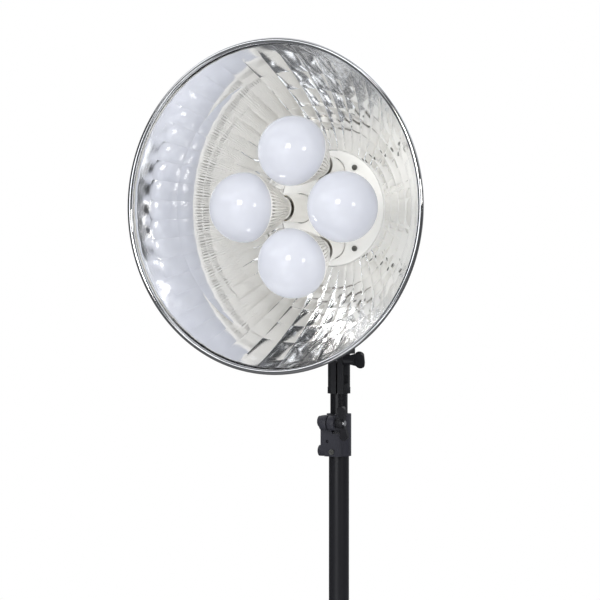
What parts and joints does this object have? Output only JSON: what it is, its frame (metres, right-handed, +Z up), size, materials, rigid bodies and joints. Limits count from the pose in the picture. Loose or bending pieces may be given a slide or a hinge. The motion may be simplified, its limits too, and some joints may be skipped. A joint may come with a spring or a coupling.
{
  "type": "four-lamp studio light on a tripod stand",
  "caption": "Studio light: faceted bowl reflector around splayed opal globe lamps, tilting on a bracket over a telescopic tripod stand.",
  "frame": {"origin": "floor level, at the middle of the object's rectangular outline seen from above, 90.8 mm in front of the stand's vertical axis", "axes": "+Z up along the stand's tubes, -Y the way the lamps face, +X to the right seen along +Y"},
  "size_m": [0.6618, 0.5767, 1.0749],
  "materials": {
    "mirror_aluminium": "polished, faceted",
    "cream_plate": "semi-gloss cream enamel",
    "dark_screw": "blackened",
    "cream_socket": "cream moulded",
    "contact_brass": "plain",
    "opal_globe": "opal, glossy",
    "cream_ribbed": "cream, fine lengthwise ribs",
    "nickel_cap": "nickel plated",
    "board_white": "white coated",
    "housing_black": "fine matt black powder coat",
    "switch_black": "satin black",
    "pin_metal": "nickel plated",
    "block_white": "white",
    "wire_cover": "heat-resistant sleeving",
    "bracket_black": "glass-filled black nylon",
    "bolt_steel": "zinc plated",
    "knob_black": "satin black",
    "tube_black": "satin black",
    "spigot_metal": "turned",
    "bush_white": "acetal",
    "collar_black": "satin black",
    "plug_black": "satin black",
    "leg_collar_black": "satin black",
    "leg_black": "satin black anodised",
    "foot_rubber": "matt",
    "strut_grey": "satin black"
  },
  "bodies": {
    "stand_base": {"base_tube": "tube_black", "tube_collar": "collar_black", "collar_bolt": "bolt_steel", "collar_screw": "dark_screw", "tube_plug": "plug_black", "leg_collar": "leg_collar_black", "leg_pins": "bolt_steel"},
    "mast": {"top_tube": "tube_black", "top_spigot": "spigot_metal", "slide_bush": "bush_white"},
    "bracket": {"tilt_bracket": "bracket_black", "tilt_bolt": "bolt_steel", "sleeve_bolt": "bolt_steel"},
    "head": {"reflector_bowl": "mirror_aluminium", "socket_plate": "cream_plate", "plate_screws": "dark_screw", "socket_top": "cream_socket", "socket_right": "cream_socket", "socket_bottom": "cream_socket", "socket_left": "cream_socket", "socket_threads": "contact_brass", "socket_contacts": "contact_brass", "globe_top": "opal_globe", "globe_right": "opal_globe", "globe_bottom": "opal_globe", "globe_left": "opal_globe", "lamp_body_top": "cream_ribbed", "lamp_body_right": "cream_ribbed", "lamp_body_bottom": "cream_ribbed", "lamp_body_left": "cream_ribbed", "lamp_caps": "nickel_cap", "led_boards": "board_white", "rear_housing": "housing_black", "rear_cover": "housing_black", "cover_screws": "dark_screw", "switch_frames": "switch_black", "power_inlet": "switch_black", "inlet_pins": "pin_metal", "terminal_block": "block_white", "wire_harness": "wire_cover"},
    "tilt_knob": {"tilt_knob": "knob_black"},
    "sleeve_knob": {"sleeve_knob": "knob_black"},
    "umbrella_knob": {"umbrella_knob": "knob_black"},
    "collar_knob": {"collar_knob": "knob_black"},
    "rocker_left": {"rocker_left": "switch_black"},
    "rocker_right": {"rocker_right": "switch_black"},
    "leg_front": {"leg_front": "leg_black", "foot_front": "foot_rubber"},
    "strut_front": {"strut_front": "strut_grey", "rivets_front": "bolt_steel"},
    "leg_right": {"leg_right": "leg_black", "foot_right": "foot_rubber"},
    "strut_right": {"strut_right": "strut_grey", "rivets_right": "bolt_steel"},
    "leg_left": {"leg_left": "leg_black", "foot_left": "foot_rubber"},
    "strut_left": {"strut_left": "strut_grey", "rivets_left": "bolt_steel"},
    "spreader": {"spreader_hub": "leg_collar_black"},
    "hub_knob": {"hub_knob": "knob_black"}
  },
  "joints": [
    {"name": "mast_height", "type": "slide", "parent": "stand_base", "child": "mast", "axis": [0, 0, 1], "range_m": [-0.01, 0.3]},
    {"name": "head_pan", "type": "hinge", "parent": "mast", "child": "bracket", "pos_m": [0, 0.0908, 0.7], "axis": [0, 0, 1], "continuous": true},
    {"name": "head_tilt", "type": "hinge", "parent": "bracket", "child": "head", "pos_m": [0, 0.0908, 0.785], "axis": [1, 0, 0], "range_deg": [-90, 45]},
    {"name": "tilt_knob_turn", "type": "hinge", "parent": "bracket", "child": "tilt_knob", "pos_m": [0.02, 0.0908, 0.785], "axis": [1, 0, 0], "range_deg": [-360, 0]},
    {"name": "sleeve_knob_turn", "type": "hinge", "parent": "bracket", "child": "sleeve_knob", "pos_m": [0.00534, 0.07614, 0.736], "axis": [0.9397, 0.342, 0], "range_deg": [-360, 0]},
    {"name": "umbrella_knob_turn", "type": "hinge", "parent": "bracket", "child": "umbrella_knob", "pos_m": [-0.02, 0.0908, 0.755], "axis": [1, 0, 0], "range_deg": [-360, 0]},
    {"name": "collar_knob_turn", "type": "hinge", "parent": "stand_base", "child": "collar_knob", "pos_m": [0.012, 0.0678, 0.668], "axis": [1, 0, 0], "range_deg": [-360, 0]},
    {"name": "rocker_left_press", "type": "hinge", "parent": "head", "child": "rocker_left", "pos_m": [-0.022, 0.1588, 0.92], "axis": [1, 0, 0], "range_deg": [-16, 0]},
    {"name": "rocker_right_press", "type": "hinge", "parent": "head", "child": "rocker_right", "pos_m": [0.022, 0.1588, 0.92], "axis": [1, 0, 0], "range_deg": [-16, 0]},
    {"name": "leg_front_fold", "type": "hinge", "parent": "stand_base", "child": "leg_front", "pos_m": [0, 0.0608, 0.265], "axis": [1, 0, 0], "range_deg": [0, 48]},
    {"name": "strut_front_fold", "type": "hinge", "parent": "leg_front", "child": "strut_front", "pos_m": [0, -0.02588, 0.19728], "axis": [1, 0, 0], "range_deg": [-96, 0]},
    {"name": "leg_right_fold", "type": "hinge", "parent": "stand_base", "child": "leg_right", "pos_m": [0.02598, 0.1058, 0.265], "axis": [-0.5, 0.866, 0], "range_deg": [0, 48]},
    {"name": "strut_right_fold", "type": "hinge", "parent": "leg_right", "child": "strut_right", "pos_m": [0.10105, 0.14914, 0.19728], "axis": [-0.5, 0.866, 0], "range_deg": [-96, 0]},
    {"name": "leg_left_fold", "type": "hinge", "parent": "stand_base", "child": "leg_left", "pos_m": [-0.02598, 0.1058, 0.265], "axis": [-0.5, -0.866, 0], "range_deg": [0, 48]},
    {"name": "strut_left_fold", "type": "hinge", "parent": "leg_left", "child": "strut_left", "pos_m": [-0.10105, 0.14914, 0.19728], "axis": [-0.5, -0.866, 0], "range_deg": [-96, 0]},
    {"name": "hub_slide", "type": "hinge", "parent": "strut_front", "child": "spreader", "pos_m": [0, 0.0608, 0.12955], "axis": [1, 0, 0], "range_deg": [0, 48]},
    {"name": "hub_knob_turn", "type": "hinge", "parent": "spreader", "child": "hub_knob", "pos_m": [0, 0.1108, 0.12955], "axis": [0, 1, 0], "range_deg": [-360, 0]}
  ],
  "couplings": [
    {"joint": "leg_right_fold", "follows": "leg_front_fold", "ratio": 1},
    {"joint": "leg_left_fold", "follows": "leg_front_fold", "ratio": 1},
    {"joint": "strut_front_fold", "follows": "leg_front_fold", "ratio": -2},
    {"joint": "strut_right_fold", "follows": "leg_front_fold", "ratio": -2},
    {"joint": "strut_left_fold", "follows": "leg_front_fold", "ratio": -2},
    {"joint": "hub_slide", "follows": "leg_front_fold", "ratio": 1}
  ]
}
